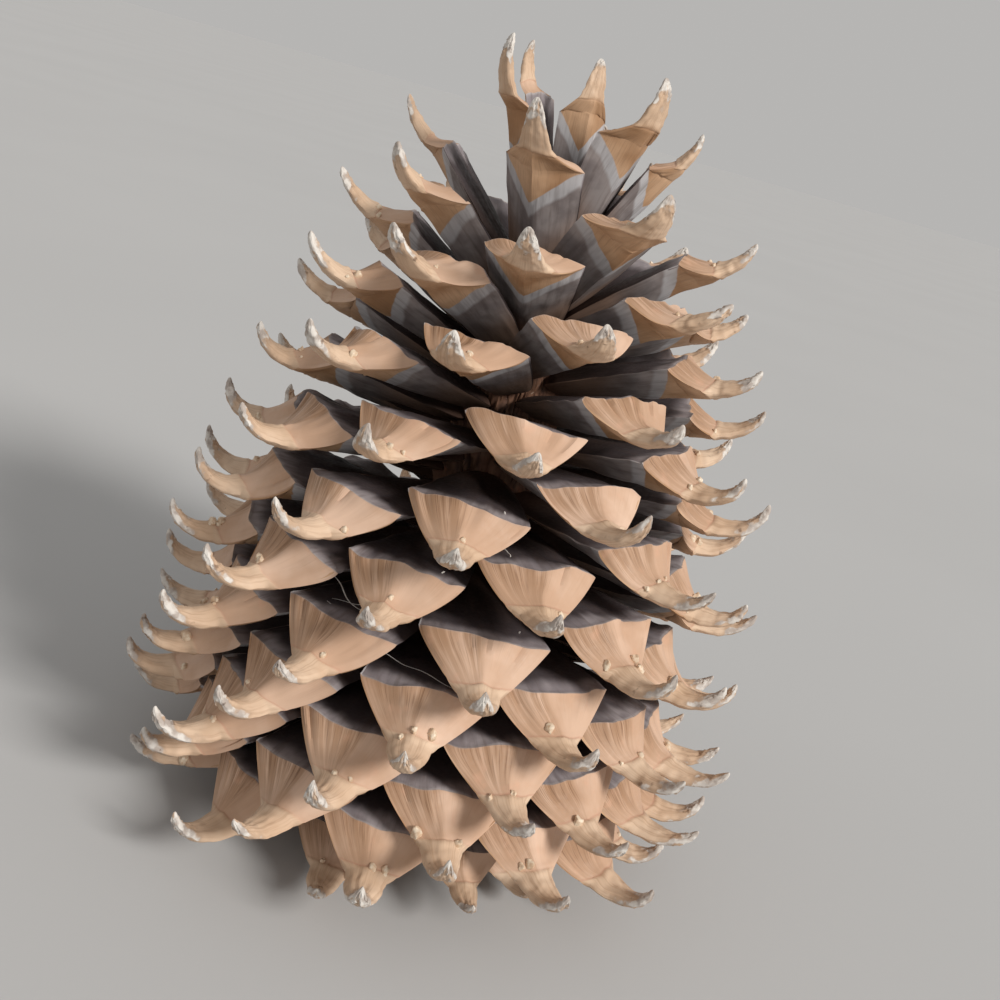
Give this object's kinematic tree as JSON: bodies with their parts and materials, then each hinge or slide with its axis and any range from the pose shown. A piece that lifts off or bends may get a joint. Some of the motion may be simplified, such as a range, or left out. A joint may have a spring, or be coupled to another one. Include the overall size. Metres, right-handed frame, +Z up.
{
  "type": "pine cone",
  "caption": "Large open pine cone standing on its base, with spirals of thick woody scales that end in fan-shaped faces and stout upcurved claws.",
  "frame": {"origin": "centre of the flat stalk scar on the underside, where the cone stands", "axes": "+Z up along the woody axis towards the tip; -Y faces the viewer and only fixes where the spiral starts"},
  "size_m": [0.1701, 0.1703, 0.2163],
  "materials": {
    "scale_wood": "matte",
    "axis_wood": "matte",
    "stalk_wood": "matte"
  },
  "bodies": {
    "root": {"core_axis": "axis_wood", "stalk_base": "stalk_wood", "scale_row_01": "scale_wood", "scale_row_02": "scale_wood", "scale_row_03": "scale_wood", "scale_row_04": "scale_wood", "scale_row_05": "scale_wood", "scale_row_06": "scale_wood", "scale_row_07": "scale_wood", "scale_row_08": "scale_wood", "scale_row_09": "scale_wood", "scale_row_10": "scale_wood", "scale_row_11": "scale_wood", "scale_row_12": "scale_wood", "scale_row_13": "scale_wood", "tip_tuft": "scale_wood"}
  },
  "joints": []
}
